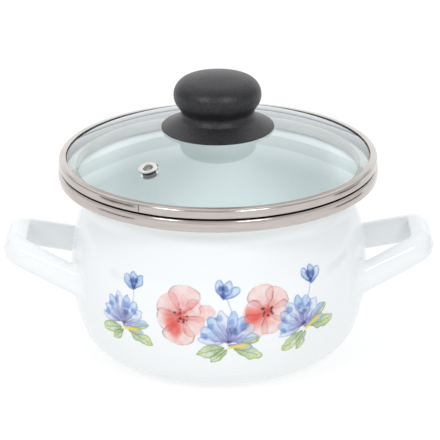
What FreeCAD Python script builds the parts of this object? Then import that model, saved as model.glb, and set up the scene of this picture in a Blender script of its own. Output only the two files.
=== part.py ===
import FreeCAD, Part
import Sketcher
import math
import os
from types import SimpleNamespace
from FreeCAD import Placement, Rotation, Vector

# A small covered saucepan: an enamelled steel pot with a rolled rim band and two
# loop handles, and a domed glass lid with its own band, a moulded knob held by a
# screw from below, and a steam vent.
#
# Frame: millimetres, +Z up, origin at the centre of the base, the handles along X
# and the front of the pot towards -Y.

os.makedirs("parts", exist_ok=True)
doc = FreeCAD.newDocument("saucepan")

# ---------------------------------------------------------------- driving sizes

SIZES = {
    # pot: pressed steel cup, its outer side as arcs that run into one another
    "wall": 1.2,
    "dish_radius": 41.0,
    "dish_rise": 0.6,
    "foot_radius": 47.4,
    "foot_arc": 39.1,
    "foot_arc_top": 3.2,
    "corner_arc": 20.55,
    "corner_top": 15.1,
    "lower_belly_arc": 90.0,
    "belly_height": 45.6,
    "upper_belly_arc": 96.0,
    "upper_belly_top": 64.7,
    "neck_radius": 70.7,
    "neck_height": 85.5,
    "flare_arc": 11.9,
    "flare_edge": 81.2,
    # steel band rolled over the flared edge of the pot
    "band_sheet": 0.5,
    "pot_band_radius": 84.3,
    "pot_band_crown": 10.0,
    "pot_band_bottom": 96.5,
    "pot_band_top": 103.0,
    "pot_band_corner": 0.7,
    "pot_band_hem": 81.8,
    "pot_band_mouth": 76.8,
    "pot_band_lip_end": 97.8,
    # loop handles: a tapering loop in a plane that rises away from the pot
    "handle_start": 76.8,
    "handle_height": 48.3,
    "handle_tilt": 20.0,
    "handle_depth": 15.0,
    "handle_buried": 14.0,
    "loop_width": 33.0,
    "loop_length": 39.3,
    "loop_taper": 20.0,
    "loop_corner": 15.0,
    "gap_width": 25.5,
    "gap_length": 28.7,
    "gap_taper": 24.0,
    "gap_corner": 4.0,
    "handle_round": 4.0,
    "handle_inner_round": 1.0,
    "handle_wall": 2.0,
    # lid: tempered glass dome in a rolled steel ring
    "seat_gap": 0.3,
    "dome_arc": 200.0,
    "dome_centre": -75.23,
    "glass_thickness": 3.2,
    "glass_edge": 81.6,
    "screw_hole": 5.0,
    "lid_band_radius": 84.0,
    "lid_band_shoulder": 107.2,
    "lid_band_roll": 1.3,
    "lid_band_corner": 0.8,
    "lid_lip_radius": 80.4,
    "lid_lip_top": 108.7,
    "lid_lip_sheet": 0.45,
    "skirt_radius": 75.1,
    "skirt_bottom": 98.0,
    "seal_gap": 0.1,
    # knob and what fastens it through the glass
    "knob_skirt_radius": 29.7,
    "knob_skirt_bottom": 122.9,
    "knob_skirt_edge": 0.8,
    "knob_rim_width": 1.9,
    "knob_clear": 1.2,
    "knob_slope_arc": 45.0,
    "ridge_radius": 20.4,
    "ridge_bottom": 129.0,
    "ridge_arc": 2.0,
    "cove_radius": 19.9,
    "cove_bottom": 129.8,
    "cove_arc": 3.56,
    "waist_radius": 19.3,
    "waist_height": 131.6,
    "under_bulb_arc": 3.5,
    "under_bulb_angle": 35.0,
    "bulb_foot_radius": 21.2,
    "bulb_foot_height": 135.5,
    "bulb_under_arc": 8.9,
    "bulb_radius": 23.1,
    "bulb_height": 141.0,
    "bulb_arc": 9.0,
    "crown_angle": 75.0,
    "crown_arc": 63.5,
    "insert_radius": 3.9,
    "insert_bore": 2.6,
    "insert_bottom": 126.2,
    "insert_top": 138.0,
    "insert_groove": 0.3,
    "upper_seal_radius": 9.0,
    "lower_seal_radius": 8.5,
    "seal_bore": 2.8,
    "seal_sheet": 1.0,
    "knob_washer_radius": 8.0,
    "knob_washer_sheet": 0.8,
    "lock_washer_radius": 4.6,
    "lock_washer_sheet": 1.1,
    "lock_washer_split": 0.8,
    "screw_radius": 2.5,
    "screw_top": 136.0,
    "screw_head_radius": 4.6,
    "screw_head_height": 3.2,
    "screw_head_round": 1.6,
    "recess_half_length": 2.4,
    "recess_half_width": 0.6,
    "recess_depth": 1.6,
    # steam vent: an eyelet through a rubber sleeve, square to the glass
    "vent_distance": 57.3,
    "vent_bearing": -128.4,
    "vent_hole": 3.6,
    "eyelet_bore": 2.4,
    "eyelet_radius": 3.0,
    "eyelet_flange": 5.15,
    "eyelet_sheet": 0.5,
    "eyelet_edge_arc": 1.0,
    "vent_seal_flange": 4.9,
    "vent_seal_sheet": 0.4,
    "vent_washer_radius": 4.6,
    "vent_washer_sheet": 0.5,
    "rolled_end_radius": 3.9,
    "slack": 0.03,
    "running_gap": 0.05,
}

sheet = doc.addObject("Spreadsheet::Sheet", "Sizes")
for row, (alias, number) in enumerate(SIZES.items(), start=1):
    sheet.set(f"A{row}", alias.replace("_", " "))
    sheet.set(f"B{row}", str(number))
    sheet.setAlias(f"B{row}", alias)
doc.recompute()


class Size:
    """A number together with the spreadsheet expression that gives it."""

    def __init__(self, value, text):
        self.value = value
        self.text = text

    def join(self, other, sign, value):
        return Size(value, f"({self.text} {sign} {as_size(other).text})")

    def __add__(self, other):
        return self.join(other, "+", self.value + as_size(other).value)

    def __sub__(self, other):
        return self.join(other, "-", self.value - as_size(other).value)

    def __mul__(self, other):
        return self.join(other, "*", self.value * as_size(other).value)

    def __truediv__(self, other):
        return self.join(other, "/", self.value / as_size(other).value)

    def __neg__(self):
        return Size(-self.value, f"(0 - {self.text})")


def as_size(number):
    return number if isinstance(number, Size) else Size(float(number), str(number))


def root(square):
    return Size(math.sqrt(square.value), f"sqrt({square.text})")


def sine(degrees):
    return Size(math.sin(math.radians(degrees.value)), f"sin({degrees.text})")


def cosine(degrees):
    return Size(math.cos(math.radians(degrees.value)), f"cos({degrees.text})")


def tangent(degrees):
    return sine(degrees) / cosine(degrees)


s = SimpleNamespace(**{alias: Size(number, f"Sizes.{alias}") for alias, number in SIZES.items()})
ZERO = as_size(0)

# ------------------------------------------------------------- sketching helpers

ORIGIN, H_AXIS, V_AXIS = -1, -1, -2
START, END, CENTRE = 1, 2, 3
EDGE_MARGIN = 0.1


def new_body(name):
    body = doc.addObject("PartDesign::Body", name)
    body.Label = name
    return body


def new_sketch(body, name, role="XZ_Plane"):
    sketch = body.newObject("Sketcher::SketchObject", name)
    plane = [item for item in body.Origin.OriginFeatures if item.Role == role][0]
    sketch.AttachmentSupport = [(plane, "")]
    sketch.MapMode = "FlatFace"
    return sketch


def bind(sketch, kind, *args, size):
    """Adds a constraint whose size comes from the sheet."""
    index = sketch.addConstraint(Sketcher.Constraint(kind, *args, size.value))
    sketch.setExpression(f"Constraints[{index}]", size.text)


def pin(sketch, geometry, end, across, up):
    """Holds a sketch point at (across, up)."""
    if abs(across.value) < 1e-9:
        sketch.addConstraint(Sketcher.Constraint("PointOnObject", geometry, end, V_AXIS))
    else:
        bind(sketch, "DistanceX", ORIGIN, START, geometry, end, size=across)
    if abs(up.value) < 1e-9:
        sketch.addConstraint(Sketcher.Constraint("PointOnObject", geometry, end, H_AXIS))
    else:
        bind(sketch, "DistanceY", ORIGIN, START, geometry, end, size=up)


def arc_about(centre, radius, first, last):
    """Arc from first to last (degrees, counter-clockwise) about a sketch point."""
    circle = Part.Circle(Vector(centre[0], centre[1], 0), Vector(0, 0, 1), radius)
    return Part.ArcOfCircle(circle, math.radians(first), math.radians(last))


def bend(radius, side):
    """Marks the side between two corners as an arc: side 1 has its centre on the left."""
    return SimpleNamespace(radius=as_size(radius), side=side)


def curved_side(start, stop, radius, side):
    """Arc between two corners, and which of its ends is the first corner."""
    across, up = stop[0] - start[0], stop[1] - start[1]
    chord = math.hypot(across, up)
    reach = side * math.sqrt(radius ** 2 - chord ** 2 / 4) / chord
    centre = ((start[0] + stop[0]) / 2 - up * reach, (start[1] + stop[1]) / 2 + across * reach)
    angles = [math.degrees(math.atan2(y - centre[1], x - centre[0])) for x, y in (start, stop)]
    if side < 0:
        angles.reverse()
    if angles[1] < angles[0]:
        angles[1] += 360
    return arc_about(centre, radius, *angles)


def outline(sketch, *items):
    """Closed outline through corners (across, up), straight unless a bend comes between."""
    corners = [item for item in items if isinstance(item, tuple)]
    corners = [(as_size(across), as_size(up)) for across, up in corners]
    bends = []
    for item in items:
        if isinstance(item, tuple):
            bends.append(None)
        else:
            bends[-1] = item
    sides = []
    for number, curve in enumerate(bends):
        here, there = corners[number], corners[(number + 1) % len(corners)]
        start = (here[0].value, here[1].value)
        stop = (there[0].value, there[1].value)
        if curve is None:
            line = Part.LineSegment(Vector(*start, 0), Vector(*stop, 0))
            sides.append((sketch.addGeometry(line), START, END))
        else:
            arc = curved_side(start, stop, curve.radius.value, curve.side)
            ends = (START, END) if curve.side > 0 else (END, START)
            sides.append((sketch.addGeometry(arc), *ends))
    for number, (geometry, first, last) in enumerate(sides):
        following = sides[(number + 1) % len(sides)]
        join = Sketcher.Constraint("Coincident", geometry, last, following[0], following[1])
        sketch.addConstraint(join)
        pin(sketch, geometry, first, *corners[number])
        if bends[number] is not None:
            bind(sketch, "Radius", geometry, size=bends[number].radius)


def circle(sketch, radius):
    """Circle about the sketch's own origin."""
    index = sketch.addGeometry(Part.Circle(Vector(0, 0, 0), Vector(0, 0, 1), radius.value))
    sketch.addConstraint(Sketcher.Constraint("Coincident", index, CENTRE, ORIGIN, START))
    bind(sketch, "Radius", index, size=radius)


def revolve(body, name, sketch):
    turn = body.newObject("PartDesign::Revolution", name)
    turn.Profile = sketch
    turn.ReferenceAxis = (sketch, ["V_Axis"])
    turn.Angle = 360
    sketch.Visibility = False
    return turn


def turned(name, *items):
    """Body turned about its own Z axis from one closed outline of (radius, height)."""
    body = new_body(name)
    sketch = new_sketch(body, f"{name}_profile")
    outline(sketch, *items)
    revolve(body, f"{name}_turn", sketch)
    return body


def cut(body, name, sketch, depth=None, upwards=False):
    """Pocket from a sketch: right through both ways, or to a depth."""
    before = solid_volume(body)
    pocket = body.newObject("PartDesign::Pocket", name)
    pocket.Profile = sketch
    if depth is None:
        pocket.Type = "ThroughAll"
        pocket.SideType = "Symmetric"
    else:
        pocket.setExpression("Length", depth.text)
        pocket.Reversed = upwards
    doc.recompute()
    if solid_volume(body) >= before:
        raise ValueError(f"{name} removed nothing")


def solid_volume(body):
    doc.recompute()
    return body.Shape.Volume


def place(thing, path, x=ZERO, y=ZERO, z=ZERO):
    for letter, size in (("x", x), ("y", y), ("z", z)):
        thing.setExpression(f"{path}.Base.{letter}", size.text)


# -------------------------------------------------------------------------- pot

def pot_side(sketch):
    """The pot's outer side up to its neck, closed along the axis: smooth arcs only."""
    plan = [(s.foot_arc, s.foot_arc_top), (s.corner_arc, s.corner_top),
            (s.lower_belly_arc, s.belly_height), (s.upper_belly_arc, s.upper_belly_top)]

    def line(start, stop):
        return sketch.addGeometry(Part.LineSegment(Vector(*start, 0), Vector(*stop, 0)))

    def meet(first, second):
        sketch.addConstraint(Sketcher.Constraint("Coincident", first, END, second, START))

    dish, rise = s.dish_radius.value, s.dish_rise.value
    foot, neck, top = s.foot_radius.value, s.neck_radius.value, s.neck_height.value
    step = dish + 2 * rise
    inside = line((0, rise), (dish, rise))
    slope = line((dish, rise), (step, 0))
    base = line((step, 0), (foot, 0))
    pin(sketch, inside, START, ZERO, s.dish_rise)
    pin(sketch, slope, START, s.dish_radius, s.dish_rise)
    pin(sketch, base, START, s.dish_radius + s.dish_rise * 2, ZERO)
    pin(sketch, base, END, s.foot_radius, ZERO)
    meet(inside, slope)
    meet(slope, base)

    x, z, heading = foot, 0.0, 0.0
    previous = base
    for radius, arc_top in plan:
        turned_to = math.acos(math.cos(heading) - (arc_top.value - z) / radius.value)
        centre = (x - radius.value * math.sin(heading), z + radius.value * math.cos(heading))
        arc = sketch.addGeometry(arc_about(centre, radius.value, math.degrees(heading) - 90,
                                           math.degrees(turned_to) - 90))
        sketch.addConstraint(Sketcher.Constraint("Tangent", previous, END, arc, START))
        bind(sketch, "Radius", arc, size=radius)
        bind(sketch, "DistanceY", ORIGIN, START, arc, END, size=arc_top)
        x, z, heading = centre[0] + radius.value * math.sin(turned_to), arc_top.value, turned_to
        previous = arc

    # the shoulder arc runs from the belly into the hollow of the neck
    flare = s.flare_arc.value
    hollow = (neck + flare, top)
    along, up = math.sin(heading), -math.cos(heading)
    gap = (x - hollow[0], z - hollow[1])
    reach = ((gap[0] ** 2 + gap[1] ** 2 - flare ** 2)
             / (2 * (flare + gap[0] * along + gap[1] * up)))
    centre = (x - reach * along, z - reach * up)
    lean = math.degrees(math.atan2(hollow[1] - centre[1], hollow[0] - centre[0]))
    shoulder = sketch.addGeometry(arc_about(centre, reach, math.degrees(heading) - 90, lean))
    neck_arc = sketch.addGeometry(arc_about(hollow, flare, 180, 180 + lean))
    lid = line((neck, top), (0, top))
    axis = line((0, top), (0, rise))
    sketch.addConstraint(Sketcher.Constraint("Tangent", previous, END, shoulder, START))
    sketch.addConstraint(Sketcher.Constraint("Tangent", shoulder, END, neck_arc, END))
    bind(sketch, "Radius", neck_arc, size=s.flare_arc)
    bind(sketch, "DistanceY", ORIGIN, START, neck_arc, CENTRE, size=s.neck_height)
    sketch.addConstraint(Sketcher.Constraint("Coincident", neck_arc, START, lid, START))
    pin(sketch, lid, START, s.neck_radius, s.neck_height)
    pin(sketch, lid, END, ZERO, s.neck_height)
    meet(lid, axis)
    meet(axis, inside)


def make_pot_body():
    """Pressed cup of even wall, with the flared edge that the rim band grips."""
    body = new_body("pot_body")
    side = new_sketch(body, "pot_side")
    pot_side(side)
    solid = revolve(body, "pot_form", side)
    full = solid_volume(body)
    mouth = [f"Face{number}" for number, face in enumerate(solid.Shape.Faces, start=1)
             if isinstance(face.Surface, Part.Plane)
             and abs(face.CenterOfMass.z - s.neck_height.value) < 1e-6]
    shell = body.newObject("PartDesign::Thickness", "pot_wall")
    shell.Base = (solid, mouth)
    shell.setExpression("Value", s.wall.text)
    shell.Reversed = True
    if solid_volume(body) >= full / 2:
        raise ValueError("the pot was not hollowed")

    flare = new_sketch(body, "pot_flare")
    hollow = s.neck_radius + s.flare_arc
    across = hollow - s.flare_edge
    outer_top = s.neck_height + root(s.flare_arc * s.flare_arc - across * across)
    inner_arc = s.flare_arc + s.wall
    inner_top = s.neck_height + root(inner_arc * inner_arc - across * across)
    outline(flare,
            (s.neck_radius, s.neck_height), bend(s.flare_arc, -1),
            (s.flare_edge, outer_top),
            (s.flare_edge, inner_top), bend(inner_arc, 1),
            (s.neck_radius - s.wall, s.neck_height))
    revolve(body, "pot_flare_turn", flare)
    return body


def make_pot_rim_band():
    """Thin steel rolled over the flared edge: hem below, crowned face, lip into the mouth."""
    sheet_, corner = s.band_sheet, s.pot_band_corner
    face, top, bottom = s.pot_band_radius, s.pot_band_top, s.pot_band_bottom
    inside = corner - sheet_
    return turned(
        "pot_rim_band",
        (s.pot_band_hem, bottom),
        (face - corner, bottom), bend(corner, 1),
        (face, bottom + corner), bend(s.pot_band_crown, 1),
        (face, top - corner), bend(corner, 1),
        (face - corner, top),
        (s.pot_band_mouth + corner, top), bend(corner, 1),
        (s.pot_band_mouth, top - corner),
        (s.pot_band_mouth, s.pot_band_lip_end),
        (s.pot_band_mouth + sheet_, s.pot_band_lip_end),
        (s.pot_band_mouth + sheet_, top - corner), bend(inside, -1),
        (s.pot_band_mouth + corner, top - sheet_),
        (face - corner, top - sheet_), bend(inside, -1),
        (face - sheet_, top - corner), bend(s.pot_band_crown - sheet_, -1),
        (face - sheet_, bottom + corner), bend(inside, -1),
        (face - corner, bottom + sheet_),
        (s.pot_band_hem, bottom + sheet_))


# ---------------------------------------------------------------------- handles

def loop(sketch, width, length, taper, corner, grow=ZERO):
    """Tapering loop, open towards the pot: legs, rounded corners and an outer bar.

    width is the half width where the loop's plane meets the pot's side, taper the angle
    by which each leg leans in, and grow moves every side outwards.
    """
    width = width + grow / cosine(taper)
    length, corner = length + grow, corner + grow
    back = width + s.handle_buried * tangent(taper)
    lean = math.radians(taper.value)
    x_corner = length.value
    y_corner = width.value - x_corner * math.tan(lean)
    run = corner.value * math.tan((math.pi / 2 - lean) / 2)
    leg_end = (x_corner - run * math.cos(lean), y_corner + run * math.sin(lean))
    centre = (x_corner - corner.value, y_corner - run)
    rise = 90 - taper.value

    def line(start, stop):
        return sketch.addGeometry(Part.LineSegment(Vector(*start, 0), Vector(*stop, 0)))

    buried = s.handle_buried.value
    shut = line((-buried, back.value), (-buried, -back.value))
    lower = line((-buried, -back.value), (leg_end[0], -leg_end[1]))
    lower_turn = sketch.addGeometry(arc_about((centre[0], -centre[1]), corner.value, -rise, 0))
    bar = line((x_corner, -centre[1]), (x_corner, centre[1]))
    upper_turn = sketch.addGeometry(arc_about(centre, corner.value, 0, rise))
    upper = line(leg_end, (-buried, back.value))
    for first, second in ((lower, lower_turn), (lower_turn, bar),
                          (bar, upper_turn), (upper_turn, upper)):
        sketch.addConstraint(Sketcher.Constraint("Tangent", first, END, second, START))
    for first, second in ((upper, shut), (shut, lower)):
        sketch.addConstraint(Sketcher.Constraint("Coincident", first, END, second, START))
    pin(sketch, shut, START, -s.handle_buried, back)
    pin(sketch, lower, START, -s.handle_buried, -back)
    bind(sketch, "DistanceX", ORIGIN, START, bar, START, size=length)
    for turn in (lower_turn, upper_turn):
        bind(sketch, "Radius", turn, size=corner)
    for leg, signed in ((lower, taper), (upper, as_size(180) - taper)):
        index = sketch.addConstraint(
            Sketcher.Constraint("Angle", H_AXIS, START, leg, START, math.radians(signed.value)))
        sketch.setExpression(f"Constraints[{index}]", f"{signed.text} * 1 deg")


def loop_sketch(body, name, *loops):
    """Sketch in the handle's own tilted plane, holding one or more loops."""
    sketch = new_sketch(body, name, "XY_Plane")
    sketch.AttachmentOffset = Placement(
        Vector(s.handle_start.value, 0, s.handle_height.value),
        Rotation(Vector(0, -1, 0), s.handle_tilt.value))
    place(sketch, "AttachmentOffset", s.handle_start, ZERO, s.handle_height)
    sketch.setExpression("AttachmentOffset.Rotation.Angle", s.handle_tilt.text)
    for sizes, grow in loops:
        loop(sketch, *sizes, grow=grow)
    return sketch


def rounded(body, name, feature, radius, keep):
    """Rounds the edges on the loop's two flat faces that keep() accepts."""
    doc.recompute()
    plane = Placement(Vector(s.handle_start.value, 0, s.handle_height.value),
                      Rotation(Vector(0, -1, 0), s.handle_tilt.value)).inverse()
    half = s.handle_depth.value / 2
    names = []
    for number, edge in enumerate(feature.Shape.Edges, start=1):
        middle = edge.valueAt((edge.FirstParameter + edge.LastParameter) / 2)
        spot = plane.multVec(middle)
        if abs(abs(spot.z) - half) < 1e-3 and keep(spot.x, abs(spot.y)):
            names.append(f"Edge{number}")
    fillet = body.newObject("PartDesign::Fillet", name)
    fillet.Base = (feature, names)
    fillet.setExpression("Radius", radius.text)
    doc.recompute()
    return fillet


def make_pot_block():
    """The pot as one solid: the shape that the handles' ends are cut to."""
    body = new_body("pot_block")
    side = new_sketch(body, "block_side")
    pot_side(side)
    revolve(body, "block_form", side)
    return body


def make_handle(name, block, turn):
    """Hollow loop, flat inside and rounded outside, its two ends fitted to the pot."""
    outer = (s.loop_width, s.loop_length, s.loop_taper, s.loop_corner)
    gap = (s.gap_width, s.gap_length, s.gap_taper, s.gap_corner)
    wall = s.handle_wall
    body = new_body(f"{name}_loop")
    pad = body.newObject("PartDesign::Pad", f"{name}_pad")
    pad.Profile = loop_sketch(body, f"{name}_outer", (outer, ZERO))
    pad.setExpression("Length", s.handle_depth.text)
    pad.SideType = "Symmetric"
    back = -s.handle_buried.value + EDGE_MARGIN
    rounded(body, f"{name}_round", pad, s.handle_round, lambda u, v: u > back)
    cut(body, f"{name}_gap", loop_sketch(body, f"{name}_inner", (gap, ZERO)))

    def on_gap(u, v):
        leg = s.gap_width.value - u * math.tan(math.radians(s.gap_taper.value))
        return back < u < s.gap_length.value + EDGE_MARGIN and v < leg + EDGE_MARGIN

    rounded(body, f"{name}_inner_round", body.Tip, s.handle_inner_round, on_gap)
    cavity = loop_sketch(body, f"{name}_cavity", (outer, -wall), (gap, wall))
    hollow = body.newObject("PartDesign::Pocket", f"{name}_hollow")
    hollow.Profile = cavity
    hollow.setExpression("Length", (s.handle_depth - wall * 2).text)
    hollow.SideType = "Symmetric"
    doc.recompute()
    handle = doc.addObject("Part::Cut", name)
    handle.Label = name
    handle.Base = body
    handle.Tool = block
    handle.Placement = Placement(Vector(0, 0, 0), Rotation(Vector(0, 0, 1), turn))
    return handle


# ------------------------------------------------------------------------- lid

def dome(radius, depth=ZERO):
    """Height of the glass at a radius; depth counts down from its outer surface."""
    arc = s.dome_arc - depth
    return s.dome_centre + root(arc * arc - radius * radius)


def make_lid_glass():
    """Spherical cap of even thickness, bored for the knob's screw and for the vent."""
    edge, hole, thick = s.glass_edge, s.screw_hole, s.glass_thickness
    body = turned(
        "lid_glass",
        (hole, dome(hole, thick)), bend(s.dome_arc - thick, -1),
        (edge, dome(edge, thick)),
        (edge, dome(edge)), bend(s.dome_arc, 1),
        (hole, dome(hole)))
    sketch = new_sketch(body, "vent_bore", "XY_Plane")
    sketch.AttachmentOffset = vent_place()
    for letter, size in zip("xyz", vent_spot()):
        sketch.setExpression(f"AttachmentOffset.Base.{letter}", size.text)
    circle(sketch, s.vent_hole)
    cut(body, "vent_cut", sketch)
    return body


def make_lid_rim_band():
    """Rolled ring: lip over the glass, upright face, seat on the pot's rim, inner skirt."""
    sheet_, corner, roll = s.band_sheet, s.lid_band_corner, s.lid_band_roll
    face, shoulder = s.lid_band_radius, s.lid_band_shoulder
    seat = s.pot_band_top + s.seat_gap
    skirt, lip, lip_sheet = s.skirt_radius, s.lid_lip_radius, s.lid_lip_sheet
    return turned(
        "lid_rim_band",
        (skirt - sheet_, s.skirt_bottom),
        (skirt, s.skirt_bottom),
        (skirt, seat),
        (face - corner, seat), bend(corner, 1),
        (face, seat + corner),
        (face, shoulder), bend(roll, 1),
        (face - roll, shoulder + roll),
        (lip, s.lid_lip_top),
        (lip, s.lid_lip_top - lip_sheet),
        (face - roll, shoulder + roll - sheet_), bend(roll - sheet_, -1),
        (face - sheet_, shoulder),
        (face - sheet_, seat + corner), bend(corner - sheet_, -1),
        (face - corner, seat + sheet_),
        (skirt, seat + sheet_), bend(sheet_, 1),
        (skirt - sheet_, seat))


def make_lid_edge_seal():
    """Liner between the edge of the glass and the ring that is rolled round it."""
    gap, slack, edge = s.seal_gap, s.slack, s.glass_edge
    lip, roll = s.lid_lip_radius, s.lid_band_roll
    floor = s.pot_band_top + s.seat_gap + s.band_sheet + gap
    ring = s.lid_band_radius - s.band_sheet - gap
    under_roll = s.lid_band_shoulder + roll - s.band_sheet - gap
    return turned(
        "lid_edge_seal",
        (edge + slack, floor),
        (ring, floor),
        (ring, s.lid_band_shoulder),
        (ring - roll + s.band_sheet, under_roll),
        (lip, s.lid_lip_top - s.lid_lip_sheet - gap),
        (lip, dome(lip) + slack * 2),
        (edge + slack, dome(edge) + slack))


def make_knob():
    """Moulded knob: wide skirt over the glass, ridge, waist and a round bulb."""
    skirt, bottom = s.knob_skirt_radius, s.knob_skirt_bottom
    rim = skirt - s.knob_rim_width
    roof = -s.knob_clear
    angle, under_arc = s.under_bulb_angle, s.under_bulb_arc
    under = (s.waist_radius + under_arc - under_arc * cosine(angle),
             s.waist_height + under_arc * sine(angle))
    crown = (s.bulb_radius - s.bulb_arc + s.bulb_arc * cosine(s.crown_angle),
             s.bulb_height + s.bulb_arc * sine(s.crown_angle))
    top = crown[1] - root(s.crown_arc * s.crown_arc - crown[0] * crown[0]) + s.crown_arc
    bore = s.insert_radius + s.running_gap
    socket = s.insert_top + s.running_gap
    return turned(
        "lid_knob",
        (bore, dome(bore, roof)), bend(s.dome_arc + s.knob_clear, -1),
        (rim, dome(rim, roof)),
        (rim, bottom),
        (skirt, bottom),
        (skirt, bottom + s.knob_skirt_edge), bend(s.knob_slope_arc, -1),
        (s.ridge_radius, s.ridge_bottom), bend(s.ridge_arc, 1),
        (s.cove_radius, s.cove_bottom), bend(s.cove_arc, -1),
        (s.waist_radius, s.waist_height), bend(s.under_bulb_arc, -1),
        under,
        (s.bulb_foot_radius, s.bulb_foot_height), bend(s.bulb_under_arc, 1),
        (s.bulb_radius, s.bulb_height), bend(s.bulb_arc, 1),
        crown, bend(s.crown_arc, 1),
        (ZERO, top),
        (ZERO, socket),
        (bore, socket))


def ring(name, inner, outer, bottom, top):
    """Plain ring of square section."""
    return turned(name, (inner, bottom), (outer, bottom), (outer, top), (inner, top))


def make_knob_fastening():
    """Seals, washers and screw in the order they are threaded under the glass."""
    slack, gap = s.slack, s.running_gap
    rim = s.upper_seal_radius
    apex_below = dome(s.screw_hole, s.glass_thickness)
    seal_top = dome(s.lower_seal_radius, s.glass_thickness) - slack
    seal_bottom = seal_top - s.seal_sheet
    washer_bottom = seal_bottom - slack - s.knob_washer_sheet
    lock_bottom = washer_bottom - slack - s.lock_washer_sheet
    head_top = lock_bottom - slack
    head_bottom = head_top - s.screw_head_height

    turned("knob_upper_seal",
           (s.seal_bore, dome(s.seal_bore) + slack), bend(s.dome_arc + slack, -1),
           (rim, dome(rim) + slack),
           (rim, dome(rim, -s.knob_clear) - slack), bend(s.dome_arc + s.knob_clear, 1),
           (s.insert_radius, dome(s.insert_radius, -s.knob_clear) - slack),
           (s.seal_bore, dome(s.insert_radius, -s.knob_clear) - slack))
    ring("screw_hole_bush", s.seal_bore, s.screw_hole - gap, apex_below, dome(s.screw_hole))
    ring("knob_lower_seal", s.seal_bore, s.lower_seal_radius, seal_bottom, seal_top)
    ring("knob_washer", s.screw_radius + gap * 2, s.knob_washer_radius,
         washer_bottom, seal_bottom - slack)

    lock = ring("knob_lock_washer", s.screw_radius + gap * 2, s.lock_washer_radius,
                lock_bottom, washer_bottom - slack)
    split = new_sketch(lock, "lock_split", "XY_Plane")
    half = s.lock_washer_split / 2
    beyond = s.lock_washer_radius + s.lock_washer_sheet
    outline(split, (ZERO, -half), (beyond, -half), (beyond, half), (ZERO, half))
    cut(lock, "lock_split_cut", split)

    groove_low = (s.insert_bottom * 2 + s.insert_top) / 3
    groove_high = (s.insert_bottom + s.insert_top * 2) / 3
    turned("knob_insert",
           (s.insert_bore, s.insert_bottom),
           (s.insert_radius, s.insert_bottom),
           (s.insert_radius, groove_low),
           (s.insert_radius - s.insert_groove, groove_low),
           (s.insert_radius - s.insert_groove, groove_high),
           (s.insert_radius, groove_high),
           (s.insert_radius, s.insert_top),
           (s.insert_bore, s.insert_top))

    rounding = s.screw_head_round
    screw = turned("knob_screw",
                   (ZERO, head_bottom),
                   (s.screw_head_radius - rounding, head_bottom), bend(rounding, 1),
                   (s.screw_head_radius, head_bottom + rounding),
                   (s.screw_head_radius, head_top),
                   (s.screw_radius, head_top),
                   (s.screw_radius, s.screw_top),
                   (ZERO, s.screw_top))
    recess = new_sketch(screw, "screw_recess", "XY_Plane")
    place(recess, "AttachmentOffset", ZERO, ZERO, head_bottom)
    arm, thick = s.recess_half_length, s.recess_half_width
    quarter = [(arm, -thick), (arm, thick), (thick, thick)]
    corners = []
    for _ in range(4):
        corners.extend(quarter)
        quarter = [(-y, x) for x, y in quarter]
    outline(recess, *corners)
    cut(screw, "screw_recess_cut", recess, s.recess_depth, upwards=True)


# ------------------------------------------------------------------- steam vent

def vent_tilt():
    """Angle between the vent's axis and the vertical."""
    ratio = s.vent_distance / s.dome_arc
    return Size(math.degrees(math.asin(ratio.value)), f"asin({ratio.text})")


def vent_spot():
    """Where the vent's axis leaves the glass."""
    return (s.vent_distance * cosine(s.vent_bearing),
            s.vent_distance * sine(s.vent_bearing),
            dome(s.vent_distance))


def vent_place():
    """The vent's own frame: origin on the glass, +Z straight out of it."""
    bearing = math.radians(s.vent_bearing.value)
    spot = Vector(*[size.value for size in vent_spot()])
    sideways = Vector(-math.sin(bearing), math.cos(bearing), 0)
    return Placement(spot, Rotation(sideways, vent_tilt().value))


def on_vent(body):
    body.Placement = vent_place()
    for letter, size in zip("xyz", vent_spot()):
        body.setExpression(f"Placement.Base.{letter}", size.text)
    body.setExpression("Placement.Rotation.Angle", vent_tilt().text)


def make_vent():
    """Eyelet, its rubber sleeve, and the washer that its rolled end holds below."""
    slack, gap = s.slack, s.running_gap
    bore, barrel, flange = s.eyelet_bore, s.eyelet_radius, s.eyelet_flange
    seal_top = slack + s.vent_seal_sheet
    flange_bottom = seal_top + slack
    flange_top = flange_bottom + s.eyelet_sheet
    below = -(s.glass_thickness + gap * 2)
    washer_bottom = below - s.vent_washer_sheet
    rolled_top = washer_bottom - slack
    rolled_bottom = rolled_top - s.eyelet_sheet
    on_vent(turned(
        "vent_seal",
        (barrel + slack, -s.glass_thickness),
        (s.vent_hole - gap, -s.glass_thickness),
        (s.vent_hole - gap, slack),
        (s.vent_seal_flange, slack),
        (s.vent_seal_flange, seal_top),
        (barrel + slack, seal_top)))
    on_vent(turned(
        "vent_eyelet",
        (bore, rolled_bottom),
        (s.rolled_end_radius, rolled_bottom),
        (s.rolled_end_radius, rolled_top),
        (barrel, rolled_top),
        (barrel, flange_bottom),
        (flange, flange_bottom), bend(s.eyelet_edge_arc, 1),
        (flange - s.eyelet_sheet, flange_top),
        (bore + s.eyelet_sheet, flange_top), bend(s.eyelet_sheet, 1),
        (bore, flange_bottom)))
    on_vent(ring("vent_washer", barrel + gap, s.vent_washer_radius, washer_bottom, below))


# ----------------------------------------------------------------------- the set

make_pot_body()
make_pot_rim_band()
block = make_pot_block()
make_handle("handle_right", block, 0)
make_handle("handle_left", block, 180)
make_lid_glass()
make_lid_rim_band()
make_lid_edge_seal()
make_knob()
make_knob_fastening()
make_vent()
doc.recompute()

NODES = ["pot_body", "pot_rim_band", "handle_right", "handle_left",
         "lid_glass", "lid_rim_band", "lid_edge_seal",
         "lid_knob", "knob_insert", "knob_upper_seal", "screw_hole_bush", "knob_lower_seal",
         "knob_washer", "knob_lock_washer", "knob_screw",
         "vent_eyelet", "vent_seal", "vent_washer"]

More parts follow.
